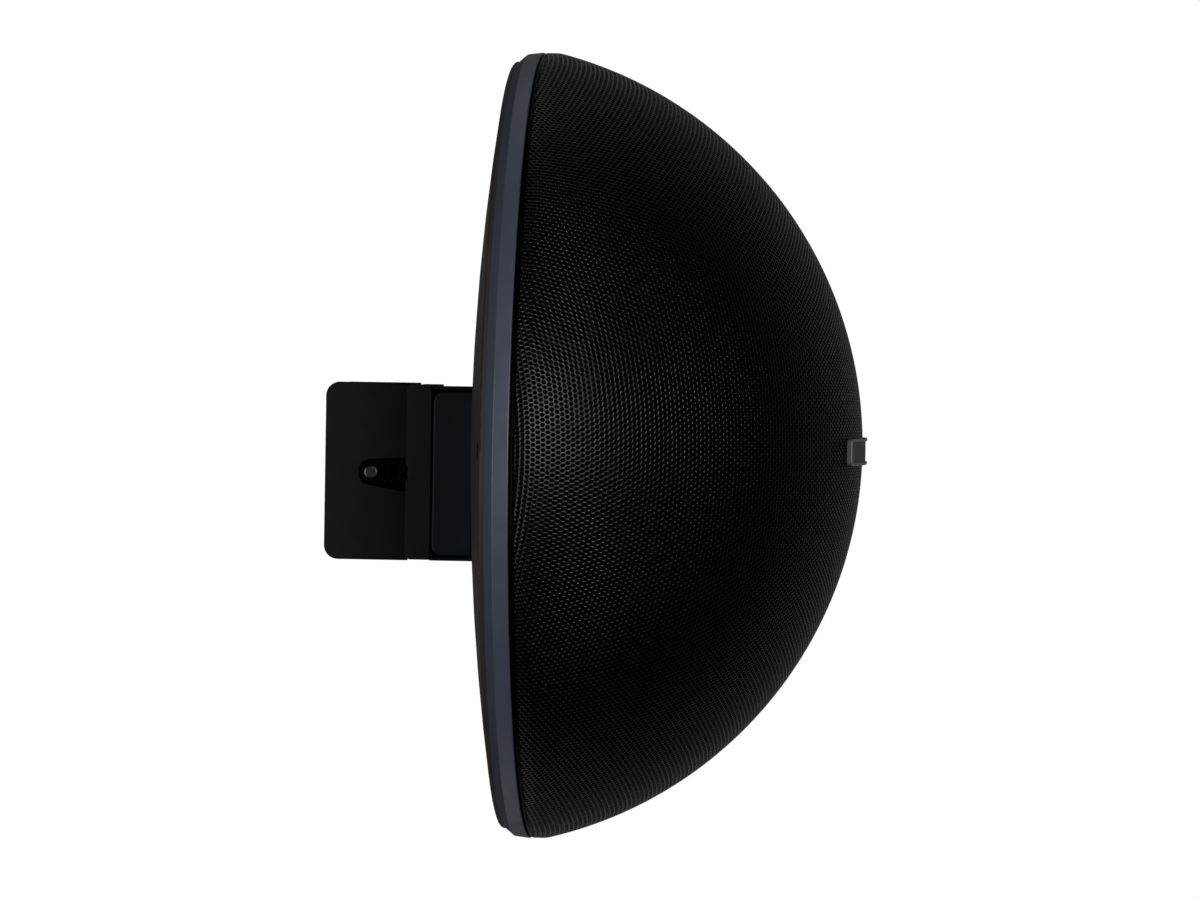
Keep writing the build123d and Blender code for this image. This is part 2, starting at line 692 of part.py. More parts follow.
# Baffle bowl: the sealed front of the cabinet, following the dome to the woofer's seat
with BuildPart() as baffle_bowl:
    bowl_inner = bowl_radius - bowl_wall
    flange_top_x = ledge_x + bowl_flange
    foot_radius = sqrt(bowl_radius ** 2 - (flange_top_x - dome_x) ** 2)
    seat_back_x = seat_x - bowl_wall
    seat_back_radius = sqrt(bowl_inner ** 2 - (seat_back_x - dome_x) ** 2)
    inner_foot_radius = sqrt(bowl_inner ** 2 - (ledge_x - dome_x) ** 2)
    with BuildSketch(head_plane):
        with BuildLine():
            Polyline((ledge_x, inner_foot_radius), (ledge_x, bowl_flange_radius),
                     (flange_top_x, bowl_flange_radius), (flange_top_x, foot_radius))
            ThreePointArc((flange_top_x, foot_radius), bowl_point(bowl_radius), (seat_x, seat_edge))
            Polyline((seat_x, seat_edge), (seat_x, seat_opening), (seat_back_x, seat_opening),
                     (seat_back_x, seat_back_radius))
            ThreePointArc((seat_back_x, seat_back_radius), bowl_point(bowl_inner),
                          (ledge_x, inner_foot_radius))
        make_face()
    revolve(axis=head_axis)
    with BuildSketch(head_plane):
        with Locations((ledge_x, land_inner)):
            Rectangle(bowl_flange, inner_foot_radius - land_inner + bowl_wall, align=(Align.MIN, Align.MIN))
    revolve(axis=head_axis)
    extrude(ring_of_discs(head_section(seat_x - woofer_boss_depth), woofer_screw_circle, woofer_screw_count,
                          2 * woofer_screw_radius), amount=woofer_boss_depth)
    extrude(ring_of_discs(head_section(ledge_x), cabinet_screw_circle - cabinet_head_radius,
                          cabinet_screw_count, 2 * cabinet_head_radius), amount=cabinet_boss_height)
    extrude(ring_of_discs(head_section(ledge_x), cabinet_screw_circle, cabinet_screw_count,
                          cabinet_screw_radius + thread_play), amount=bowl_flange + 2 * cabinet_head_radius,
            mode=Mode.SUBTRACT)
    extrude(ring_of_discs(head_section(seat_x - woofer_boss_depth + bowl_wall / 2), woofer_screw_circle,
                          woofer_screw_count, woofer_screw_radius + thread_play), amount=woofer_boss_depth,
            mode=Mode.SUBTRACT)
    extrude(grid_of_discs(head_section(seat_x), bridge_screw_circle, bridge_screw_offset,
                          bridge_screw_radius + thread_play), amount=-bowl_wall, mode=Mode.SUBTRACT)
baffle_bowl.part.label = "baffle_bowl"
export_step(baffle_bowl.part, "parts/baffle_bowl.step")

# Screws that close the cabinet from behind
with BuildPart() as cabinet_screws:
    cabinet_tip_x = ledge_x + bowl_flange + cabinet_head_radius
    extrude(ring_of_discs(head_section(cabinet_seat_x), cabinet_screw_circle, cabinet_screw_count,
                          cabinet_screw_radius), amount=cabinet_tip_x - cabinet_seat_x)
    extrude(ring_of_discs(head_section(cabinet_seat_x), cabinet_screw_circle, cabinet_screw_count,
                          cabinet_head_radius), amount=-cabinet_head_height)
    with BuildSketch(head_section(cabinet_seat_x - cabinet_head_height)):
        with PolarLocations(cabinet_screw_circle, cabinet_screw_count):
            RegularPolygon(cabinet_screw_radius, 6)
    extrude(amount=cabinet_head_height / 2, mode=Mode.SUBTRACT)
cabinet_screws.part.label = "cabinet_screws"
export_step(cabinet_screws.part, "parts/cabinet_screws.step")

# Grille: pressed dome with a hem that turns in behind the rim's front edge and a push-fit skirt
stud_way = Vector(cos(badge_stud_angle), sin(badge_stud_angle), 0)
stud_ways = [stud_way, Vector(stud_way.X, -stud_way.Y, 0)]
with BuildPart() as grille:
    revolve(dome_profile(dome_radius, blend_radius, sheet), axis=head_axis)
    skirt_end_x = ledge_x + seal_height
    with BuildSketch(head_plane) as hem_face:
        with BuildLine():
            Polyline((edge_x, edge_radius), (hem_x, edge_radius), (hem_x, skirt_radius),
                     (skirt_end_x, skirt_radius), (skirt_end_x, skirt_radius - sheet),
                     (hem_x + sheet, skirt_radius - sheet), (hem_x + sheet, edge_radius - sheet),
                     (edge_x, edge_radius - sheet), close=True)
        make_face()
        fillet(hem_face.vertices().group_by(Axis.Y)[-1].sort_by(Axis.X)[0], sheet)
    revolve(axis=head_axis)
    for way in stud_ways:
        extrude(disc(Plane(origin=Vector(dome_x, 0, axis_z) + way * (dome_radius - 2 * sheet), z_dir=way),
                     badge_stud_radius + screw_play), amount=4 * sheet, mode=Mode.SUBTRACT)
grille.part.label = "grille"
export_step(grille.part, "parts/grille.step")

# Rubber bead that the skirt presses on
with BuildPart() as grille_seal:
    extrude(disc(head_section(ledge_x), rim_bore - running, bowl_flange_radius + running), amount=seal_height)
grille_seal.part.label = "grille_seal"
export_step(grille_seal.part, "parts/grille_seal.step")

# Woven scrim just inside the grille
with BuildPart() as grille_scrim:
    scrim_outer = dome_radius - sheet - scrim_gap
    scrim_tuck = blend_radius - sheet - scrim_gap
    scrim_edge = edge_radius - sheet - scrim_gap
    revolve(dome_profile(scrim_outer, scrim_tuck, scrim_sheet), axis=head_axis)
    extrude(disc(head_section(hem_x + sheet), scrim_edge, scrim_edge - scrim_sheet),
            amount=edge_x - hem_x - sheet)
    for way in stud_ways:
        extrude(disc(Plane(origin=Vector(dome_x, 0, axis_z) + way * (scrim_outer - 2 * sheet), z_dir=way),
                     badge_stud_radius + screw_play), amount=4 * sheet, mode=Mode.SUBTRACT)
grille_scrim.part.label = "grille_scrim"
export_step(grille_scrim.part, "parts/grille_scrim.step")

# Blank badge bar that follows the dome, with two studs through the grille
with BuildPart() as badge:
    add(domed_column(badge_length, badge_height, badge_corner, 0, dome_radius + badge_rise - badge_field))
    add(domed_column(badge_length, badge_height, badge_corner, badge_border, dome_radius + badge_rise))
    with Locations((dome_x, 0, axis_z)):
        Sphere(dome_radius, mode=Mode.SUBTRACT)
    for way in stud_ways:
        extrude(disc(Plane(origin=Vector(dome_x, 0, axis_z) + way * (dome_radius + badge_field), z_dir=way),
                     badge_stud_radius), amount=-badge_stud_length)
badge.part.label = "badge"
export_step(badge.part, "parts/badge.step")

# Push-on clips that hold the badge's studs behind the scrim
with BuildPart() as badge_clips:
    clip_seat = scrim_outer - scrim_sheet - thread_play
    for way in stud_ways:
        extrude(disc(Plane(origin=Vector(dome_x, 0, axis_z) + way * clip_seat, z_dir=way),
                     clip_radius, badge_stud_radius + running), amount=-clip_height)
badge_clips.part.label = "badge_clips"
export_step(badge_clips.part, "parts/badge_clips.step")

# Woofer basket: flange, six spokes, spider ledge and the ring that carries the motor
with BuildPart() as woofer_basket:
    shoulder_radius = spider_outer + basket_wall
    throat_radius = spider_outer - 4 * basket_wall
    with BuildSketch(head_plane):
        with BuildLine():
            Polyline((seat_x, flange_radius), (flange_x, flange_radius), (flange_x, flange_inner),
                     (ledge_back_x + basket_wall, shoulder_radius - basket_wall),
                     (ledge_back_x, shoulder_radius - basket_wall), (ledge_back_x, throat_radius),
                     (motor_x + basket_wall, throat_radius - basket_wall),
                     (motor_x + basket_wall, winding_outer + loose),
                     (motor_x, winding_outer + loose), (motor_x, throat_radius),
                     (ledge_back_x - basket_wall, throat_radius + basket_wall),
                     (ledge_back_x - basket_wall, shoulder_radius),
                     (seat_x, flange_inner + basket_wall), close=True)
        make_face()
    revolve(axis=head_axis)
    window_x = ledge_back_x + spider_wave + 2 * basket_wall
    window_depth = seat_x - window_x - 2 * basket_wall
    with BuildSketch(head_section(window_x)):
        with PolarLocations(flange_inner, spoke_count):
            Rectangle(2 * flange_inner, flange_inner / 2)
        Circle(throat_radius, mode=Mode.SUBTRACT)
    extrude(amount=window_depth, mode=Mode.SUBTRACT)
    extrude(ring_of_discs(head_section(seat_x), woofer_screw_circle, woofer_screw_count,
                          woofer_screw_radius + screw_play), amount=flange_thickness, mode=Mode.SUBTRACT)
woofer_basket.part.label = "woofer_basket"
export_step(woofer_basket.part, "parts/woofer_basket.step")

# Woofer motor: top plate, ring magnet, and yoke with its vented pole
with BuildPart() as woofer_top_plate:
    extrude(disc(head_section(top_plate_x), top_plate_radius, gap_outer), amount=top_plate_thickness)
woofer_top_plate.part.label = "woofer_top_plate"
export_step(woofer_top_plate.part, "parts/woofer_top_plate.step")

with BuildPart() as woofer_magnet:
    extrude(disc(head_section(magnet_x), magnet_radius, magnet_bore), amount=top_plate_x - magnet_x)
    chamfer(woofer_magnet.edges().filter_by(GeomType.CIRCLE), edge_round)
woofer_magnet.part.label = "woofer_magnet"
export_step(woofer_magnet.part, "parts/woofer_magnet.step")

with BuildPart() as woofer_yoke:
    extrude(disc(head_section(yoke_x), yoke_radius, vent_radius), amount=magnet_x - yoke_x)
    extrude(disc(head_section(magnet_x), pole_radius, vent_radius), amount=motor_x - magnet_x)
woofer_yoke.part.label = "woofer_yoke"
export_step(woofer_yoke.part, "parts/woofer_yoke.step")

# Voice coil: former with the winding round it, centred on the top plate
with BuildPart() as voice_coil:
    extrude(disc(head_section(former_back_x), former_outer, former_inner), amount=former_length)
    winding_x = top_plate_x + (top_plate_thickness - winding_length) / 2
    extrude(disc(head_section(winding_x), winding_outer, former_inner), amount=winding_length)
voice_coil.part.label = "voice_coil"
export_step(voice_coil.part, "parts/voice_coil.step")

# Cone, glued to the former at its neck, its edge flattened for the surround
with BuildPart() as woofer_cone:
    revolve(outline(head_plane, [(cone_back_x, former_outer), (flange_x, surround_inner - cone_sheet),
                                 (flange_x, cone_edge_radius), (flange_x - cone_sheet, cone_edge_radius),
                                 (flange_x - cone_sheet, surround_inner),
                                 (cone_back_x - 2 * cone_sheet, former_outer)]), axis=head_axis)
woofer_cone.part.label = "woofer_cone"
export_step(woofer_cone.part, "parts/woofer_cone.step")

# Dust cap over the voice coil
with BuildPart() as dust_cap:
    cone_slope = (flange_x - cone_back_x) / (surround_inner - cone_sheet - former_outer)
    cap_x = cone_back_x + (dust_cap_radius - former_outer) * cone_slope
    revolve(cap_profile(cap_x, dust_cap_radius, dust_cap_rise, cone_sheet), axis=head_axis)
dust_cap.part.label = "dust_cap"
export_step(dust_cap.part, "parts/dust_cap.step")

# Surround: a half roll between the cone's edge and the basket's flange
with BuildPart() as woofer_surround:
    lip_x = flange_x + surround_sheet
    roll_top_x = lip_x + roll_radius
    with BuildSketch(head_plane):
        with BuildLine():
            Polyline((flange_x, roll_circle - roll_radius + surround_sheet), (flange_x, surround_inner),
                     (lip_x, surround_inner), (lip_x, roll_circle - roll_radius))
            ThreePointArc((lip_x, roll_circle - roll_radius), (roll_top_x, roll_circle),
                          (lip_x, roll_circle + roll_radius))
            Polyline((lip_x, roll_circle + roll_radius), (lip_x, surround_outer), (flange_x, surround_outer),
                     (flange_x, roll_circle + roll_radius - surround_sheet))
            ThreePointArc((flange_x, roll_circle + roll_radius - surround_sheet),
                          (roll_top_x - surround_sheet, roll_circle),
                          (flange_x, roll_circle - roll_radius + surround_sheet))
        make_face()
    revolve(axis=head_axis)
woofer_surround.part.label = "woofer_surround"
export_step(woofer_surround.part, "parts/woofer_surround.step")

# Spider: a waved disc between the former and the basket's ledge
with BuildPart() as woofer_spider:
    spider_edge = spider_outer - loose
    wave_end = throat_radius + spider_sheet
    wave_steps = spider_points * spider_waves
    wave_span = (wave_end - former_outer) / wave_steps
    wave_turn = radians(360 / spider_points)
    crests = [(ledge_back_x + spider_wave * (1 - cos(wave_turn * step)), former_outer + wave_span * step)
              for step in range(wave_steps + 1)]
    troughs = [(x + spider_sheet, r) for x, r in crests]
    with BuildSketch(head_plane):
        with BuildLine():
            Spline(*crests)
            Polyline(crests[-1], (ledge_back_x, spider_edge), (ledge_back_x + spider_sheet, spider_edge),
                     troughs[-1])
            Spline(*troughs)
            Line(troughs[0], crests[0])
        make_face()
    revolve(axis=head_axis)
woofer_spider.part.label = "woofer_spider"
export_step(woofer_spider.part, "parts/woofer_spider.step")

# Gasket ring and screws on the woofer's flange
with BuildPart() as woofer_gasket:
    extrude(disc(head_section(flange_x), flange_radius, woofer_gasket_inner), amount=woofer_gasket_height)
    extrude(ring_of_discs(head_section(flange_x), woofer_screw_circle, woofer_screw_count,
                          woofer_screw_radius + screw_play), amount=woofer_gasket_height, mode=Mode.SUBTRACT)
woofer_gasket.part.label = "woofer_gasket"
export_step(woofer_gasket.part, "parts/woofer_gasket.step")

with BuildPart() as woofer_screws:
    gasket_x = flange_x + woofer_gasket_height
    woofer_tip_x = seat_x - woofer_boss_depth + bowl_wall
    extrude(ring_of_discs(head_section(woofer_tip_x), woofer_screw_circle, woofer_screw_count,
                          woofer_screw_radius), amount=gasket_x - woofer_tip_x)
    extrude(ring_of_discs(head_section(gasket_x), woofer_screw_circle, woofer_screw_count,
                          woofer_head_radius), amount=woofer_head_height)
woofer_screws.part.label = "woofer_screws"
export_step(woofer_screws.part, "parts/woofer_screws.step")

# Bridge across the woofer with a round pod for the tweeter
with BuildPart() as tweeter_bridge:
    foot_end = bridge_foot + bridge_foot_depth
    half_arch = [(seat_x, foot_end), (bridge_foot_x, foot_end), (bridge_top_x, bridge_knee)]
    half_under = [(bridge_under_x, bridge_knee), (bridge_foot_x + edge_round, bridge_foot),
                  (seat_x, bridge_foot)]
    far_arch = [(x, -y) for x, y in reversed(half_arch)]
    far_under = [(x, -y) for x, y in reversed(half_under)]
    level = Plane(origin=(0, 0, axis_z), x_dir=(1, 0, 0), z_dir=(0, 0, 1))
    extrude(outline(level, half_arch + far_arch + far_under + half_under), amount=bridge_width / 2, both=True)
    extrude(disc(head_section(bridge_under_x), pod_radius), amount=pod_front_x - bridge_under_x)
    extrude(disc(head_section(bridge_top_x), pod_radius - pod_wall), amount=pod_front_x, mode=Mode.SUBTRACT)
    head_seat_x = bridge_foot_x - bridge_head_height
    extrude(grid_of_discs(head_section(seat_x), bridge_screw_circle, bridge_screw_offset,
                          bridge_screw_radius + screw_play), amount=bridge_foot_x, mode=Mode.SUBTRACT)
    extrude(grid_of_discs(head_section(head_seat_x), bridge_screw_circle, bridge_screw_offset,
                          bridge_head_radius + screw_play), amount=bridge_foot_x, mode=Mode.SUBTRACT)
    extrude(ring_of_discs(head_section(pod_front_x), tweeter_screw_circle, tweeter_screw_count,
                          tweeter_screw_radius + thread_play), amount=-pod_height, mode=Mode.SUBTRACT)
tweeter_bridge.part.label = "tweeter_bridge"
export_step(tweeter_bridge.part, "parts/tweeter_bridge.step")

with BuildPart() as bridge_screws:
    extrude(grid_of_discs(head_section(seat_x - bowl_wall + loose), bridge_screw_circle, bridge_screw_offset,
                          bridge_screw_radius), amount=head_seat_x - seat_x + bowl_wall - loose)
    extrude(grid_of_discs(head_section(head_seat_x), bridge_screw_circle, bridge_screw_offset,
                          bridge_head_radius), amount=bridge_head_height)
bridge_screws.part.label = "bridge_screws"
export_step(bridge_screws.part, "parts/bridge_screws.step")

# Tweeter motor: steel cup, magnet and pole disc
with BuildPart() as tweeter_cup:
    cup_front_x = pod_front_x - 2 * tweeter_sheet
    extrude(disc(head_section(bridge_top_x), cup_radius), amount=cup_front_x - bridge_top_x)
    extrude(disc(head_section(bridge_top_x + cup_wall), cup_radius - cup_wall), amount=cup_front_x,
            mode=Mode.SUBTRACT)
tweeter_cup.part.label = "tweeter_cup"
export_step(tweeter_cup.part, "parts/tweeter_cup.step")

with BuildPart() as tweeter_magnet:
    cup_floor_x = bridge_top_x + cup_wall
    pole_disc_x = cup_front_x - cup_wall
    extrude(disc(head_section(cup_floor_x), tweeter_magnet_radius - loose), amount=pole_disc_x - cup_floor_x)
tweeter_magnet.part.label = "tweeter_magnet"
export_step(tweeter_magnet.part, "parts/tweeter_magnet.step")

with BuildPart() as tweeter_pole:
    extrude(disc(head_section(pole_disc_x), tweeter_magnet_radius - loose), amount=cup_wall)
tweeter_pole.part.label = "tweeter_pole"
export_step(tweeter_pole.part, "parts/tweeter_pole.step")

# Tweeter diaphragm: dome, clamped edge and coil in one piece
with BuildPart() as tweeter_diaphragm:
    revolve(cap_profile(pod_front_x, tweeter_dome, tweeter_rise, tweeter_sheet), axis=head_axis)
    extrude(disc(head_section(cup_front_x), cup_radius, tweeter_dome - tweeter_sheet),
            amount=2 * tweeter_sheet)
    extrude(disc(head_section(pole_disc_x), tweeter_coil, tweeter_coil - tweeter_sheet),
            amount=pod_front_x + 2 * tweeter_sheet - pole_disc_x)
tweeter_diaphragm.part.label = "tweeter_diaphragm"
export_step(tweeter_diaphragm.part, "parts/tweeter_diaphragm.step")

# Tweeter faceplate with a short flare, and its screws
with BuildPart() as tweeter_faceplate:
    flare = face_thickness
    revolve(outline(head_plane, [(pod_front_x, tweeter_opening), (pod_front_x, pod_radius),
                                 (face_front_x - edge_round, pod_radius),
                                 (face_front_x, pod_radius - edge_round),
                                 (face_front_x, tweeter_opening + flare)]), axis=head_axis)
    extrude(ring_of_discs(head_section(pod_front_x), tweeter_screw_circle, tweeter_screw_count,
                          tweeter_screw_radius + screw_play), amount=flare, mode=Mode.SUBTRACT)
tweeter_faceplate.part.label = "tweeter_faceplate"
export_step(tweeter_faceplate.part, "parts/tweeter_faceplate.step")

with BuildPart() as tweeter_screws:
    extrude(ring_of_discs(head_section(bridge_top_x + loose), tweeter_screw_circle, tweeter_screw_count,
                          tweeter_screw_radius), amount=face_front_x - bridge_top_x - loose)
    extrude(ring_of_discs(head_section(face_front_x), tweeter_screw_circle, tweeter_screw_count,
                          2 * tweeter_screw_radius), amount=tweeter_screw_radius)
tweeter_screws.part.label = "tweeter_screws"
export_step(tweeter_screws.part, "parts/tweeter_screws.step")

# Crossover: board on the shell's posts, with its parts on the front
with BuildPart() as crossover_board:
    extrude(slab(across(board_x, board_z), board_width, board_height), amount=board_thickness)
    extrude(grid_of_discs(across(board_x, board_z), post_y, post_z, board_screw_radius + screw_play),
            amount=board_thickness, mode=Mode.SUBTRACT)
crossover_board.part.label = "crossover_board"
export_step(crossover_board.part, "parts/crossover_board.step")

with BuildPart() as board_screws:
    board_tip_x = board_x + loose - board_inset
    extrude(grid_of_discs(across(board_tip_x, board_z), post_y, post_z, board_screw_radius),
            amount=board_front_x - board_tip_x)
    extrude(grid_of_discs(across(board_front_x, board_z), post_y, post_z, 2 * board_screw_radius),
            amount=board_screw_radius)
board_screws.part.label = "board_screws"
export_step(board_screws.part, "parts/board_screws.step")

with BuildPart() as inductor:
    coil_plane = Plane(origin=(board_front_x, -board_width / 4, board_z), x_dir=(0, 1, 0), z_dir=(1, 0, 0))
    extrude(disc(coil_plane, coil_radius, coil_radius / 2), amount=coil_height)
    fillet(inductor.edges().filter_by(GeomType.CIRCLE), edge_round)
inductor.part.label = "inductor"
export_step(inductor.part, "parts/inductor.step")

with BuildPart() as capacitors:
    for rise in (-capacitor_offset, capacitor_offset):
        body = Plane(origin=(board_front_x + capacitor_radius, board_inset, board_z + rise), x_dir=(1, 0, 0),
                     z_dir=(0, 1, 0))
        extrude(disc(body, capacitor_radius), amount=capacitor_length)
    fillet(capacitors.edges().filter_by(GeomType.CIRCLE), edge_round)
capacitors.part.label = "capacitors"
export_step(capacitors.part, "parts/capacitors.step")

with BuildPart() as resistor:
    resistor_y = board_inset + resistor_length / 2
    resistor_plane = Plane(origin=(board_front_x, resistor_y, board_z), x_dir=(0, 1, 0), z_dir=(1, 0, 0))
    extrude(slab(resistor_plane, resistor_length, resistor_side), amount=resistor_side)
resistor.part.label = "resistor"
export_step(resistor.part, "parts/resistor.step")

with BuildPart() as terminal_block:
    block_plane = Plane(origin=(board_front_x, -board_inset, board_z - board_height / 3), x_dir=(0, 1, 0),
                        z_dir=(1, 0, 0))
    extrude(slab(block_plane, block_width, block_height), amount=block_height)
    with BuildSketch(block_plane.offset(block_height)):
        with GridLocations(block_width / 2, block_height, 2, 1):
            Circle(block_height / 5)
    extrude(amount=-block_height / 3, mode=Mode.SUBTRACT)
terminal_block.part.label = "terminal_block"
export_step(terminal_block.part, "parts/terminal_block.step")
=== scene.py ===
"""Outdoor patio speaker on a tilting wall bracket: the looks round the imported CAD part.

Metres. The wall is the plane X 0, the dome faces +X and Z is up.
"""

import math

import bpy
import numpy as np
from mathutils import Matrix, Vector


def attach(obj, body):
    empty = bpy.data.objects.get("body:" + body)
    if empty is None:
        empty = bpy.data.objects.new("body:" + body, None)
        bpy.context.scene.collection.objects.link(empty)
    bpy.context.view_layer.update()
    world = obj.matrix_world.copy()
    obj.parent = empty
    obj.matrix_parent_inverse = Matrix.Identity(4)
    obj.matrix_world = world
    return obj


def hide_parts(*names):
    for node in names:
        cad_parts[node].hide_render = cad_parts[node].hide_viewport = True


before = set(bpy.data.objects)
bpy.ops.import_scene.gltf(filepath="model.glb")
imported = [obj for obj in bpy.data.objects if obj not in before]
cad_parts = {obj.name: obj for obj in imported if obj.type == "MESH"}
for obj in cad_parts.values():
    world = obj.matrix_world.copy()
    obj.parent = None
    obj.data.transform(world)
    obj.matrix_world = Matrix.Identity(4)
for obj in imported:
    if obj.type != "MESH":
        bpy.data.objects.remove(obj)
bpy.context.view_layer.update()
MM = 0.001

# Head, as in the CAD source
AXIS_Z = 12.9
DOME_X = 61.0
DOME_RADIUS = 190.5
BLEND_ANGLE = math.radians(14.3)
BLEND_RADIUS = 13.0
EDGE_X = DOME_X + (DOME_RADIUS - BLEND_RADIUS) * math.sin(BLEND_ANGLE)
EDGE_CENTRE = (DOME_RADIUS - BLEND_RADIUS) * math.cos(BLEND_ANGLE)
EDGE_RADIUS = EDGE_CENTRE + BLEND_RADIUS
SHEET = 1.2
HEM_DEPTH = 5.1
HEM_GAP = 0.7           # groove between hem and rim
SKIRT_STEP = 6.0        # from the dome's edge in to the skirt
LOOSE = 0.4             # parts that pass each other
HEM_X = EDGE_X - HEM_DEPTH
SKIRT_RADIUS = EDGE_RADIUS - SKIRT_STEP

# Rim ring, as in the CAD source
RIM_OVERLAP = 0.2
RIM_WIDTH = 11.0
RIM_CHAMFER = 4.0       # width of the slope behind the crease
RIM_SLOPE = 0.8         # fall of the band from its front to the crease
RIM_TURN = 3.4          # further fall of the slope
LEDGE_HEIGHT = 3.4
LEDGE_DEPTH = 12.0
SEAL_HEIGHT = 1.0
RIM_RADIUS = EDGE_RADIUS + RIM_OVERLAP
RIM_FRONT_X = HEM_X - HEM_GAP
RIM_BACK_X = RIM_FRONT_X - RIM_WIDTH
RIM_BORE = SKIRT_RADIUS + LOOSE
CREASE_X = RIM_BACK_X + RIM_CHAMFER
CREASE_RADIUS = RIM_RADIUS - RIM_SLOPE
RIM_BACK_RADIUS = CREASE_RADIUS - RIM_TURN
LEDGE_X = RIM_BACK_X + LEDGE_HEIGHT
LEDGE_RADIUS = RIM_BORE - LEDGE_DEPTH
SKIRT_END_X = LEDGE_X + SEAL_HEIGHT

# Where a piece changes its colour, in millimetres: where painted shade begins, and the badge's field
SHADE_WIDTH = 2.1       # of the grille's edge painted dark as shade, in front of the hem
HUB_BODY_X = 38.3       # painted shade on the hub's arms, which lie behind it
CAP_SEAT_Y = 28.0       # painted shade on the neck's recessed sides, which lie inside it
BADGE_FIELD_RADIUS = 192.3      # from the dome's centre, between the badge's field and its border
NO_SHEEN = 0.02


def linear(code):
    """An sRGB hex code as linear red, green, blue."""
    parts = [int(code[i:i + 2], 16) / 255 for i in (1, 3, 5)]
    return [p / 12.92 if p <= 0.04045 else ((p + 0.055) / 1.055) ** 2.4 for p in parts]


# Materials


class Shader:
    """A material's node tree, with one function that adds a node, sets it and links it."""

    def __init__(self, name):
        self.material = bpy.data.materials.new(name)
        self.material.use_nodes = True
        self.tree = self.material.node_tree
        self.surface = self.tree.nodes["Principled BSDF"]
        self.place = self.add("ShaderNodeTexCoord").outputs["Object"]

    def add(self, kind, settings=None, **inputs):
        """Add a node; inputs are values, or sockets to link from."""
        node = self.tree.nodes.new(kind)
        for key, value in (settings or {}).items():
            setattr(node, key, value)
        for key, value in inputs.items():
            socket = node.inputs[int(key[1:])] if key[0] == "i" and key[1:].isdigit() else node.inputs[key]
            if isinstance(value, bpy.types.NodeSocket):
                self.tree.links.new(value, socket)
            else:
                socket.default_value = value
        return node

    def link(self, source, socket):
        self.tree.links.new(source, self.surface.inputs[socket])

    def noise(self, size_mm, detail=2.0, stretch=None):
        """Noise whose features are about size_mm across."""
        place = self.place
        if stretch:
            place = self.add("ShaderNodeMapping", Vector=place, Scale=stretch).outputs[0]
        return self.add("ShaderNodeTexNoise", Vector=place, Scale=1 / (size_mm * MM), Detail=detail).outputs["Fac"]

    def ramp(self, source, low, high, out_low, out_high):
        """Map source from low..high to out_low..out_high."""
        return self.add("ShaderNodeMapRange", Value=source, i1=low, i2=high, i3=out_low, i4=out_high).outputs[0]

    def tint(self, source, first, second):
        """Mix two sRGB codes by source."""
        node = self.add("ShaderNodeMix", {"data_type": "RGBA"}, i0=source)
        node.inputs[6].default_value = [*linear(first), 1]
        node.inputs[7].default_value = [*linear(second), 1]
        return node.outputs[2]

    def under(self, source, limit_mm):
        """1 where source, in metres, is less than limit_mm."""
        return self.add("ShaderNodeMath", {"operation": "LESS_THAN"}, i0=source, i1=limit_mm * MM).outputs[0]

    def axis(self, index):
        """One coordinate of the object, in metres."""
        return self.add("ShaderNodeSeparateXYZ", Vector=self.place).outputs[index]

    def bump(self, height, depth_mm):
        """Bump of a real depth."""
        return self.add("ShaderNodeBump", Height=height, Strength=1.0, Distance=depth_mm * MM).outputs[0]


def moulded(name, dark, light, rough, grain_mm, grain_depth_mm, spread=0.06, shine=0.5, area=None, area_code=""):
    """A moulded or coated surface: faint mottled colour, uneven sheen and a fine grain.

    area, if given, makes a mask from the shader; there the surface has the colour area_code and no sheen."""
    s = Shader(name)
    s.surface.inputs["Specular IOR Level"].default_value = shine
    patches = s.noise(28.0, 3.0)
    colour = s.tint(s.ramp(patches, 0.35, 0.65, 0, 1), dark, light)
    if area:
        mask = area(s)
        mix = s.add("ShaderNodeMix", {"data_type": "RGBA"}, i0=mask, i6=colour, i7=[*linear(area_code), 1])
        colour = mix.outputs[2]
        s.link(s.ramp(mask, 0, 1, shine, NO_SHEEN), "Specular IOR Level")
    s.link(colour, "Base Color")
    s.link(s.ramp(s.noise(9.0, 4.0), 0.3, 0.7, rough - spread, rough + spread), "Roughness")
    s.link(s.bump(s.noise(grain_mm, 2.0), grain_depth_mm), "Normal")
    return s.material


def turned_edge_painted_shade(s):
    """The grille's edge beside the rim, where the sheet turns in: painted shade, black and without sheen."""
    return s.under(s.axis(0), HEM_X + SHADE_WIDTH)


def rim_slope_painted_shade(s):
    """The slope behind the rim's crease, painted darker as shade: a slightly greyer slate without sheen."""
    return s.under(s.axis(0), CREASE_X)


def slot_side_painted_shade(s):
    """The hub's arms behind their body, painted near-black without sheen as shade in the slot."""
    return s.under(s.axis(0), HUB_BODY_X)


def cap_recess_painted_shade(s):
    """The neck's sides behind the edges of their caps, painted near-black without sheen as shade."""
    return s.under(s.add("ShaderNodeMath", {"operation": "ABSOLUTE"}, i0=s.axis(1)).outputs[0], CAP_SEAT_Y)


def badge_field(s):
    """The sunk field, which lies nearer to the dome's centre than the badge's border."""
    centre = [DOME_X * MM, 0, AXIS_Z * MM]
    far = s.add("ShaderNodeVectorMath", {"operation": "DISTANCE"}, i0=s.place, i1=centre).outputs["Value"]
    return s.under(far, BADGE_FIELD_RADIUS)


def plated(name, colour, rough, brush_mm):
    """A plated metal: fine lines that run one way, and a patchy sheen."""
    s = Shader(name)
    s.surface.inputs["Metallic"].default_value = 1.0
    s.surface.inputs["Base Color"].default_value = [*linear(colour), 1]
    s.link(s.ramp(s.noise(6.0, 3.0), 0.3, 0.7, rough - 0.08, rough + 0.08), "Roughness")
    s.link(s.bump(s.noise(brush_mm, 2.0, (1, 8, 8)), 0.01), "Normal")
    return s.material


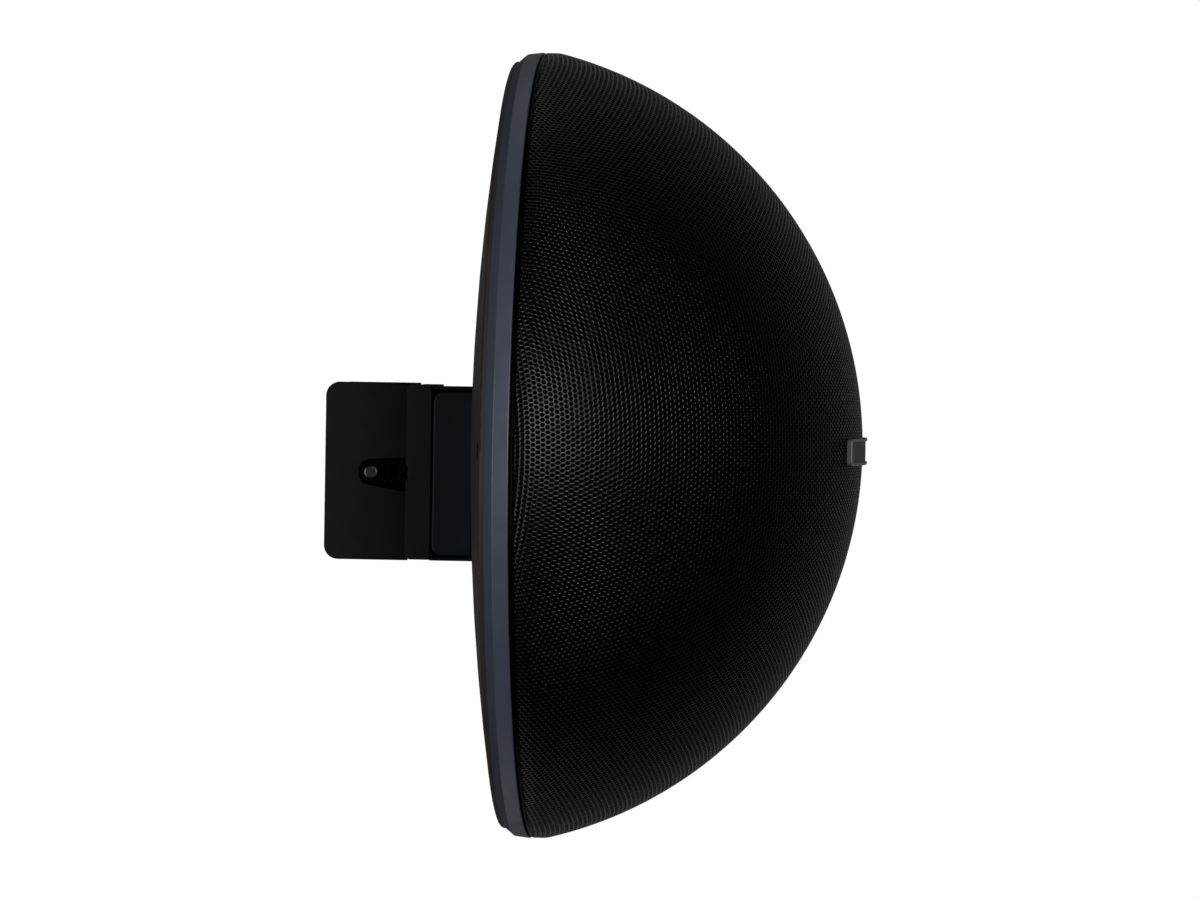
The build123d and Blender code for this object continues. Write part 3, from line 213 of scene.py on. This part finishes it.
def woven(name, dark, light, thread_mm, rough=0.9, shine=NO_SHEEN):
    """A fine weave: crossing threads as two waves that colour and lift the surface."""
    s = Shader(name)
    turn = 2 * math.pi / (thread_mm * MM)
    split = s.add("ShaderNodeSeparateXYZ", Vector=s.place)
    waves = [s.add("ShaderNodeMath", {"operation": "SINE"},
                   i0=s.add("ShaderNodeMath", {"operation": "MULTIPLY"}, i0=split.outputs[i], i1=turn).outputs[0])
             for i in (1, 2)]
    cross = s.add("ShaderNodeMath", {"operation": "MULTIPLY"}, i0=waves[0].outputs[0], i1=waves[1].outputs[0])
    s.link(s.tint(s.ramp(cross.outputs[0], -1, 1, 0, 1), dark, light), "Base Color")
    s.surface.inputs["Roughness"].default_value = rough
    s.surface.inputs["Specular IOR Level"].default_value = shine
    s.link(s.bump(cross.outputs[0], 0.05), "Normal")
    return s.material


# Powder coat on the perforated steel: black, satin, with the slight orange peel that softens its highlights; the edge
# beside the rim is painted black without sheen as shade
coated_steel = moulded("powder_coated_perforated_steel", "#020202", "#030303", 0.27, 0.9, 0.006,
                       spread=0.02, shine=0.26, area=turned_edge_painted_shade, area_code="#010101")
# Satin slate moulding of the rim: a blue-grey with a soft, even sheen; the slope behind the crease is painted shade, a
# slightly greyer slate without sheen
slate = moulded("satin_slate_moulding", "#323743", "#353a46", 0.45, 0.5, 0.004, shine=0.48, area=rim_slope_painted_shade,
                area_code="#343841")
# Darker blue-black moulding of the neck's side caps
cap_moulding = moulded("satin_blue_black_moulding", "#10161e", "#131a23", 0.55, 0.6, 0.006, shine=0.14)
# Grained back shell: warm black with a visible moulded grain
shell_moulding = moulded("grained_warm_black_moulding", "#1f1b19", "#24201e", 0.6, 0.8, 0.02, shine=0.2)
# Cast bracket under a fine matt powder coat
cast_coat = moulded("matt_powder_coated_casting", "#0a0a0b", "#0c0c0d", 0.65, 0.7, 0.015, shine=0.10)
# Hub casting, a little warmer than the bracket; its arms behind the body are painted near-black without sheen as the
# slot's shade
hub_coat = moulded("warm_powder_coated_casting", "#191615", "#1c1918", 0.6, 0.7, 0.015, shine=0.14, area=slot_side_painted_shade,
                   area_code="#030303")
# Neck moulding of the hub's colour; its recesses for the side caps are painted near-black without sheen as shade
neck_moulding = moulded("warm_black_moulding", "#161312", "#191615", 0.6, 0.7, 0.015, shine=0.14, area=cap_recess_painted_shade,
                        area_code="#020202")
# Black nylon of the bushes and the badge's clips, near-black and without sheen: partly the nylon's own black, partly
# painted shade in the slots
bush_nylon = moulded("black_nylon_painted_shade", "#020202", "#040404", 0.8, 0.6, 0.008, shine=0.02)
# Plain black nylon of hidden mouldings
nylon = moulded("moulded_black_nylon", "#0a0a0b", "#0e0e0f", 0.5, 0.6, 0.008)
# Rubber of gaskets, grommets and the surround
rubber = moulded("matt_black_rubber", "#0b0b0b", "#101010", 0.7, 0.5, 0.01)
# Black zinc on the screws: dark, with a faint metallic sheen
black_zinc = plated("black_zinc_plated_steel", "#3a3a3d", 0.42, 0.6)
# Bright zinc on the motor's steel
bright_steel = plated("zinc_plated_steel", "#b4b4b6", 0.35, 0.6)
# Ground ferrite of the magnets
ferrite = moulded("ground_ferrite", "#2a2a2c", "#343436", 0.6, 0.4, 0.01)
# Satin paint on the badge's casting: a mid grey without sparkle
badge_paint = moulded("satin_painted_casting", "#56575a", "#5c5d60", 0.45, 0.4, 0.004, shine=0.4, area=badge_field,
                      area_code="#424346")
# Enamelled copper wire
copper = plated("enamelled_copper_wire", "#b4622e", 0.3, 0.8)
# Polypropylene of the cone and dust cap
polymer = moulded("satin_black_polypropylene", "#101012", "#151517", 0.38, 1.4, 0.02)
# Cloth of the scrim, spider and tweeter dome
scrim_cloth = woven("black_scrim_cloth", "#020202", "#060606", 0.5)
spider_cloth = woven("impregnated_spider_cloth", "#7a5a2a", "#9a7438", 0.8)
silk = woven("coated_silk", "#0c0c0c", "#151515", 0.25, 0.6, 0.4)
# Crossover board and its parts
laminate = moulded("lacquered_board_laminate", "#1d5a2c", "#236634", 0.35, 1.0, 0.004)
film = moulded("capacitor_film_wrap", "#8a3a1c", "#964222", 0.25, 1.0, 0.003)
cement = moulded("cement_resistor_ceramic", "#c9c4b6", "#d6d1c4", 0.8, 0.5, 0.02)

looks = {
    "wall_bracket": cast_coat, "tilt_hub": hub_coat, "woofer_basket": cast_coat,
    "cable_grommet": rubber, "cable_gland": rubber, "cabinet_gasket": rubber, "grille_seal": rubber,
    "woofer_surround": rubber, "woofer_gasket": rubber,
    "tilt_bushes": bush_nylon, "neck": neck_moulding, "tweeter_bridge": nylon, "tweeter_faceplate": nylon,
    "terminal_block": nylon, "baffle_bowl": nylon,
    "tilt_bolts": black_zinc, "lock_bolt": black_zinc, "lock_washer": black_zinc, "neck_screws": black_zinc,
    "cabinet_screws": black_zinc, "woofer_screws": black_zinc, "bridge_screws": black_zinc,
    "tweeter_screws": black_zinc, "board_screws": black_zinc,
    "neck_caps": cap_moulding, "rim_ring": slate, "back_shell": shell_moulding,
    "grille": coated_steel, "grille_scrim": scrim_cloth, "badge": badge_paint,
    "badge_clips": bush_nylon, "woofer_top_plate": bright_steel, "woofer_yoke": bright_steel,
    "tweeter_cup": bright_steel, "tweeter_pole": bright_steel, "woofer_magnet": ferrite,
    "tweeter_magnet": ferrite, "voice_coil": copper, "inductor": copper, "woofer_cone": polymer,
    "dust_cap": polymer, "woofer_spider": spider_cloth, "tweeter_diaphragm": silk,
    "crossover_board": laminate, "capacitors": film, "resistor": cement,
}
for node, material in looks.items():
    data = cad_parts[node].data
    data.materials.clear()
    data.materials.append(material)

# Edges of the castings and caps, eased so that they catch the light
for node, width in (("wall_bracket", 0.4), ("tilt_hub", 0.6), ("neck_caps", 0.5)):
    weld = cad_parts[node].modifiers.new("joined", "WELD")
    weld.merge_threshold = 0.001 * MM
    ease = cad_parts[node].modifiers.new("eased_edges", "BEVEL")
    ease.width = width * MM
    ease.segments = 2
    ease.limit_method = "ANGLE"
    ease.angle_limit = math.radians(40)
    ease.harden_normals = True


# New pieces


def piece(name, points, faces, material, body, stands_for=(), normals=None):
    """A mesh in millimetres that rides on a CAD body. faces is one array for each number of corners."""
    data = bpy.data.meshes.new(name)
    loops = np.concatenate([f.ravel() for f in faces])
    sizes = np.concatenate([np.full(len(f), f.shape[1]) for f in faces])
    data.vertices.add(len(points))
    data.vertices.foreach_set("co", (points * MM).astype(np.float32).ravel())
    data.loops.add(len(loops))
    data.loops.foreach_set("vertex_index", loops.astype(np.int32))
    data.polygons.add(len(sizes))
    starts = np.concatenate([[0], np.cumsum(sizes)[:-1]])
    data.polygons.foreach_set("loop_start", starts.astype(np.int32))
    data.polygons.foreach_set("use_smooth", np.ones(len(sizes), bool))
    data.update(calc_edges=True)
    data.validate()
    if normals is not None:
        data.normals_split_custom_set_from_vertices(normals)
    data.materials.append(material)
    obj = bpy.data.objects.new(name, data)
    bpy.context.scene.collection.objects.link(obj)
    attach(obj, body)
    if stands_for:
        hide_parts(*stands_for)
    return obj


def turned(name, profile, material, body, stands_for=(), segments=480, sharp=35.0):
    """A surface of revolution about the head's axis: each profile point (x, radius) is swept round a full circle.

    The profile runs so that the outside is on its left; corners sharper than the given angle stay crisp."""
    x, radius = np.array(profile, float).T
    turn = np.linspace(0, 2 * np.pi, segments, endpoint=False)
    points = np.stack([np.repeat(x, segments), np.outer(radius, np.sin(turn)).ravel(),
                       np.outer(radius, np.cos(turn)).ravel() + AXIS_Z], 1)
    row, column = np.meshgrid(np.arange(len(x) - 1), np.arange(segments), indexing="ij")
    after = (column + 1) % segments
    quads = np.stack([row * segments + column, row * segments + after, (row + 1) * segments + after,
                      (row + 1) * segments + column], -1).reshape(-1, 4)
    obj = piece(name, points, [quads], material, body, stands_for)
    obj.data.set_sharp_from_angle(angle=math.radians(sharp))
    return obj


def arc(centre, radius, start, end, count):
    """Points (x, radius) on a circle in the turned profile's plane; angles in degrees from +x towards the outside."""
    t = np.radians(np.linspace(start, end, count))
    return [(centre[0] + radius * math.cos(a), centre[1] + radius * math.sin(a)) for a in t]


# Dome: the arc length from the apex gives a place on the sphere, then on the tighter edge curve
SPHERE_ARC = DOME_RADIUS * (math.pi / 2 - BLEND_ANGLE)
DOME_ARC = SPHERE_ARC + BLEND_RADIUS * BLEND_ANGLE
CURL_ARC = DOME_ARC + EDGE_X - HEM_X - SHEET        # where the sheet turns in behind the edge


def dome_place(arc_length, spin, drop):
    """Points and outward normals on the dome at an arc length from its apex and an angle round the axis.

    The sphere, then the edge curve, then a short straight lip; each point lies drop below the surface."""
    on_sphere = arc_length < SPHERE_ARC
    bent = np.pi / 2 - BLEND_ANGLE + (np.minimum(arc_length, DOME_ARC) - SPHERE_ARC) / BLEND_RADIUS
    lean = np.where(on_sphere, arc_length / DOME_RADIUS, bent)
    curve = np.where(on_sphere, DOME_RADIUS, BLEND_RADIUS) - drop
    x = np.where(on_sphere, DOME_X, EDGE_X) + curve * np.cos(lean) - np.maximum(arc_length - DOME_ARC, 0)
    radius = np.where(on_sphere, 0, EDGE_CENTRE) + curve * np.sin(lean)
    ways = np.stack([np.cos(lean), np.sin(lean) * np.sin(spin), np.sin(lean) * np.cos(spin)], -1)
    points = np.stack([x, radius * np.sin(spin), radius * np.cos(spin) + AXIS_Z], -1)
    return points, ways


# Holes of the grille
HOLE_STEP_APEX = 1.97       # between rows at the apex
HOLE_STEP_EDGE = 2.24       # between rows from HOLE_EVEN_FROM outwards
HOLE_EVEN_FROM = 250.0      # arc length
HOLE_SHARE = 0.41           # hole radius as a share of the pitch
WALL_DEPTH = 0.8
STRAND_ROUND = math.radians(37.0)       # how far the coat rounds over into each hole
SECTORS = 5                 # sixths of the lattice that go round the dome
PRESS_MARGIN = 20.0         # how far the table of rows runs past the dome's edge
SLACK = 1e-6                # keeps a row that lies on a sector's edge in one sector


def press(flat):
    """Flat blank radius, in rows of holes, to arc length on the pressed dome, and the last row that has holes.

    The rows spread from the apex towards the edge."""
    arc_table = np.linspace(0, DOME_ARC + PRESS_MARGIN, 4000)
    step = HOLE_STEP_EDGE + (HOLE_STEP_APEX - HOLE_STEP_EDGE) * np.clip(1 - arc_table / HOLE_EVEN_FROM, 0, 1)
    rows = np.concatenate([[0], np.cumsum(np.diff(arc_table) / (step[1:] + step[:-1]) * 2)])
    return np.interp(flat, rows, arc_table), np.interp(CURL_ARC, arc_table, rows)


def perforated_dome():
    """A staggered lattice of round holes, five sixths of a full turn of it closed up round the dome: the sixth left
    out keeps the holes evenly apart from the apex to the edge, and a sixth turn of the lattice is the same lattice, so
    it has no seam. Each hole is six quads between its six-sided cell and the hole's edge, and six more down the hole's
    wall. Normals lean into the hole at its edge, so the strands between holes shade as rounded."""
    row_gap = 1.0
    pitch = row_gap * 2 / math.sqrt(3)
    _, reach = press(0.0)
    count = int(reach / row_gap) + 2
    row, column = np.meshgrid(np.arange(-count, count + 1), np.arange(-count, count + 1), indexing="ij")
    across = (row * row_gap).ravel()
    along = ((column + 0.5 * (row % 2)) * pitch).ravel()
    far = np.hypot(across, along)
    round_by = np.arctan2(along, -across)
    half_turn = np.pi * SECTORS / 6
    keep = (far > 0) & (far < reach + pitch * 0.6) & (round_by > -half_turn - SLACK) & (round_by < half_turn - SLACK)
    across, along, far, round_by = across[keep], along[keep], far[keep], round_by[keep]
    holed = far < reach + pitch * 0.1
    turn = np.radians(np.arange(6) * 60.0)
    cell = pitch / math.sqrt(3)
    corner = np.stack([across[:, None] + cell * np.cos(turn), along[:, None] + cell * np.sin(turn)], -1)
    rim = np.stack([across[:, None] + pitch * HOLE_SHARE * np.cos(turn),
                    along[:, None] + pitch * HOLE_SHARE * np.sin(turn)], -1)
    sector = np.floor((round_by + half_turn + SLACK) / (np.pi / 3)).astype(int) % SECTORS

    def mapped(spots, cells, drop):
        """Places on the dome of spots in the flat lattice: the turn from the cell's middle is kept, then closed up."""
        flat = np.minimum(np.hypot(spots[..., 0], spots[..., 1]), reach)
        length, _ = press(flat)
        middle = round_by[cells].reshape(-1, *[1] * (spots.ndim - 2))
        off = np.arctan2(spots[..., 1], -spots[..., 0]) - middle
        off = (off + np.pi) % (2 * np.pi) - np.pi
        return dome_place(length, (middle + off) * 6 / SECTORS - np.pi / 2, drop)

    ring = np.stack([np.arange(6), (np.arange(6) + 1) % 6], 1)
    for s in range(SECTORS):
        open_cells = np.flatnonzero(holed & (sector == s))
        plain_cells = np.flatnonzero(~holed & (sector == s))
        outer, outer_ways = mapped(corner[open_cells], open_cells, 0.0)
        edge, edge_ways = mapped(rim[open_cells], open_cells, 0.0)
        lower, _ = mapped(rim[open_cells], open_cells, WALL_DEPTH)
        centre, _ = mapped(np.stack([across, along], -1)[open_cells], open_cells, 0.0)
        inward = centre[:, None] - edge
        inward /= np.linalg.norm(inward, axis=-1, keepdims=True)
        edge_ways = edge_ways * math.cos(STRAND_ROUND) + inward * math.sin(STRAND_ROUND)
        plain, plain_ways = mapped(corner[plain_cells], plain_cells, 0.0)
        n, m = len(open_cells), len(plain_cells)
        points = np.concatenate([a.reshape(-1, 3) for a in (outer, edge, edge, lower, plain)])
        ways = np.concatenate([a.reshape(-1, 3) for a in (outer_ways, edge_ways, inward, inward, plain_ways)])
        base = np.arange(n)[:, None, None] * 6
        first, second = ring[:, 0][None, :, None], ring[:, 1][None, :, None]
        top = np.concatenate([base + first, base + second, base + second + 6 * n, base + first + 6 * n], -1)
        wall = np.concatenate([base + first + 12 * n, base + second + 12 * n, base + second + 18 * n,
                               base + first + 18 * n], -1)
        whole = 24 * n + np.arange(m)[:, None] * 6 + np.arange(6)[None]
        piece(f"grille_dome_{s + 1}", points, [top.reshape(-1, 4), wall.reshape(-1, 4), whole], coated_steel, "head",
              normals=ways)


perforated_dome()
# Hem and skirt: the sheet turned in behind the dome's edge and back along the rim's bore
turned("grille_hem",
       [(SKIRT_END_X, SKIRT_RADIUS - SHEET), (SKIRT_END_X, SKIRT_RADIUS), (HEM_X, SKIRT_RADIUS)]
       + arc((HEM_X + SHEET, EDGE_RADIUS - SHEET), SHEET, 180, 90, 8), coated_steel, "head", ("grille",))


def eased(before, corner, after, radius, count=9):
    """A round of the given radius in place of a profile's corner, as points from one side to the other."""
    before, corner, after = (np.array(p, float) for p in (before, corner, after))
    one, two = before - corner, after - corner
    one, two = one / np.hypot(*one), two / np.hypot(*two)
    half = math.acos(np.clip(one @ two, -1, 1)) / 2
    middle = corner + (one + two) / np.hypot(*(one + two)) * radius / math.sin(half)
    foot = radius / math.tan(half)
    first, last = corner + one * foot - middle, corner + two * foot - middle
    swing = math.atan2(first[0] * last[1] - first[1] * last[0], first @ last)
    turn = np.linspace(0, swing, count)
    return [(middle[0] + first[0] * math.cos(a) - first[1] * math.sin(a),
             middle[1] + first[0] * math.sin(a) + first[1] * math.cos(a)) for a in turn]


# Rim ring, its crease and edges softly rounded
BACK_ROUND, CREASE_ROUND, FRONT_ROUND = 0.6, 1.5, 0.5
rim_back, rim_crease = (RIM_BACK_X, RIM_BACK_RADIUS), (CREASE_X, CREASE_RADIUS)
rim_front, rim_foot = (RIM_FRONT_X, RIM_RADIUS), (RIM_FRONT_X, RIM_BORE)
turned("rim_ring_turned",
       [(LEDGE_X, LEDGE_RADIUS), (RIM_BACK_X, LEDGE_RADIUS)]
       + eased((RIM_BACK_X, LEDGE_RADIUS), rim_back, rim_crease, BACK_ROUND, 5)
       + eased(rim_back, rim_crease, rim_front, CREASE_ROUND)
       + eased(rim_crease, rim_front, rim_foot, FRONT_ROUND)
       + [rim_foot, (LEDGE_X, RIM_BORE), (LEDGE_X, LEDGE_RADIUS)], slate, "head", ("rim_ring",))


# Stage, light and camera
FLOOR_Z = -0.5
FLOOR_HALF = 1.6
FLOOR_GLOW = 0.9
HEAD_MIDDLE_X = 0.12        # where the lights aim
FRONT_LEVEL, BACK_LEVEL = 0.001, 0.2        # the room's light from the camera's side and from behind
LEVEL_START, LEVEL_END = 0.2, 1.0           # Y of the direction, over which one gives way to the other


def plate(name, corners, colour, glow):
    """A flat four-cornered stage piece in metres, which glows a little so that it looks pale from every side."""
    data = bpy.data.meshes.new(name)
    data.from_pydata(corners, [], [(0, 1, 2, 3)])
    s = Shader(name)
    s.surface.inputs["Base Color"].default_value = [*linear(colour), 1]
    s.surface.inputs["Roughness"].default_value = 0.9
    s.surface.inputs["Emission Color"].default_value = [*linear(colour), 1]
    s.surface.inputs["Emission Strength"].default_value = glow
    data.materials.append(s.material)
    obj = bpy.data.objects.new(name, data)
    bpy.context.scene.collection.objects.link(obj)
    return obj


floor_corners = [(x * FLOOR_HALF, y * FLOOR_HALF, FLOOR_Z) for x, y in ((-1, -1), (1, -1), (1, 1), (-1, 1))]
floor = plate("pale_floor", floor_corners, "#f2f2f2", FLOOR_GLOW)
floor.visible_diffuse = False
floor.visible_glossy = False
floor.visible_shadow = False

# World: white where the camera sees it; as light, faint and mostly from behind
world = bpy.data.worlds.new("white_studio")
bpy.context.scene.world = world
world.use_nodes = True
tree = world.node_tree
path = tree.nodes.new("ShaderNodeLightPath")
mix = tree.nodes.new("ShaderNodeMixShader")
seen = tree.nodes.new("ShaderNodeBackground")
seen.inputs["Color"].default_value = (1, 1, 1, 1)
lit = tree.nodes["Background"]
lit.inputs["Color"].default_value = (1, 1, 1, 1)
place = tree.nodes.new("ShaderNodeTexCoord")
split = tree.nodes.new("ShaderNodeSeparateXYZ")
level = tree.nodes.new("ShaderNodeMapRange")
for socket, value in enumerate((LEVEL_START, LEVEL_END, FRONT_LEVEL, BACK_LEVEL), 1):
    level.inputs[socket].default_value = value
tree.links.new(place.outputs["Generated"], split.inputs[0])
tree.links.new(split.outputs["Y"], level.inputs[0])
tree.links.new(level.outputs[0], lit.inputs["Strength"])
tree.links.new(path.outputs["Is Camera Ray"], mix.inputs[0])
tree.links.new(lit.outputs[0], mix.inputs[1])
tree.links.new(seen.outputs[0], mix.inputs[2])
tree.links.new(mix.outputs[0], tree.nodes["World Output"].inputs["Surface"])


def softbox(name, way, distance, size, watts):
    """A rectangular area light that faces the middle of the head from a direction."""
    data = bpy.data.lights.new(name, "AREA")
    data.shape = "RECTANGLE"
    data.size, data.size_y = size
    data.energy = watts
    obj = bpy.data.objects.new(name, data)
    bpy.context.scene.collection.objects.link(obj)
    middle = Vector((HEAD_MIDDLE_X, 0, AXIS_Z * MM))
    obj.location = middle + Vector(way).normalized() * distance
    obj.rotation_mode = "QUATERNION"
    obj.rotation_quaternion = (middle - obj.location).to_track_quat("-Z", "Y")
    return obj


softbox("key_softbox", (0.37, -0.93, 0.12), 1.8, (0.5, 0.7), 26)
softbox("left_softbox", (-0.78, -0.62, -0.06), 1.8, (0.6, 1.0), 15.5)
softbox("top_softbox", (-0.1, 0.25, 1.0), 1.5, (1.0, 1.0), 1.6)
softbox("low_softbox", (-0.25, 0.3, -1.0), 1.5, (1.0, 1.0), 1.5)

# Camera: the dome's centre falls on its place in the photograph at the photograph's scale
IMAGE_WIDTH, IMAGE_HEIGHT = 1200, 900
SENSOR = 36.0
LENS = 127.0
AZIMUTH, ELEVATION, ROLL = math.radians(3.4), math.radians(1.0), math.radians(0.95)
DOME_PIXEL = (460.0, 444.0)
DOME_PIXEL_RADIUS = 403.5
focal = LENS / SENSOR * IMAGE_WIDTH
distance = DOME_RADIUS * math.hypot(focal / DOME_PIXEL_RADIUS, 1)
back = Vector((math.sin(AZIMUTH) * math.cos(ELEVATION), -math.cos(AZIMUTH) * math.cos(ELEVATION),
               math.sin(ELEVATION)))
level_right = Vector((math.cos(AZIMUTH), math.sin(AZIMUTH), 0))
level_up = back.cross(level_right)
right = level_right * math.cos(ROLL) + level_up * math.sin(ROLL)
up = level_up * math.cos(ROLL) - level_right * math.sin(ROLL)
off_x = (DOME_PIXEL[0] - IMAGE_WIDTH / 2) / focal
off_y = (IMAGE_HEIGHT / 2 - DOME_PIXEL[1]) / focal
depth = distance / math.sqrt(1 + off_x ** 2 + off_y ** 2)
eye = Vector((DOME_X, 0, AXIS_Z)) - right * off_x * depth - up * off_y * depth + back * depth
camera_data = bpy.data.cameras.new("camera")
camera_data.sensor_width = SENSOR
camera_data.lens = LENS
camera_data.clip_end = 50
camera = bpy.data.objects.new("camera", camera_data)
bpy.context.scene.collection.objects.link(camera)
camera.matrix_world = Matrix.Translation(eye * MM) @ Matrix((right, up, back)).transposed().to_4x4()
bpy.context.scene.camera = camera
bpy.context.scene.view_settings.view_transform = "Standard"
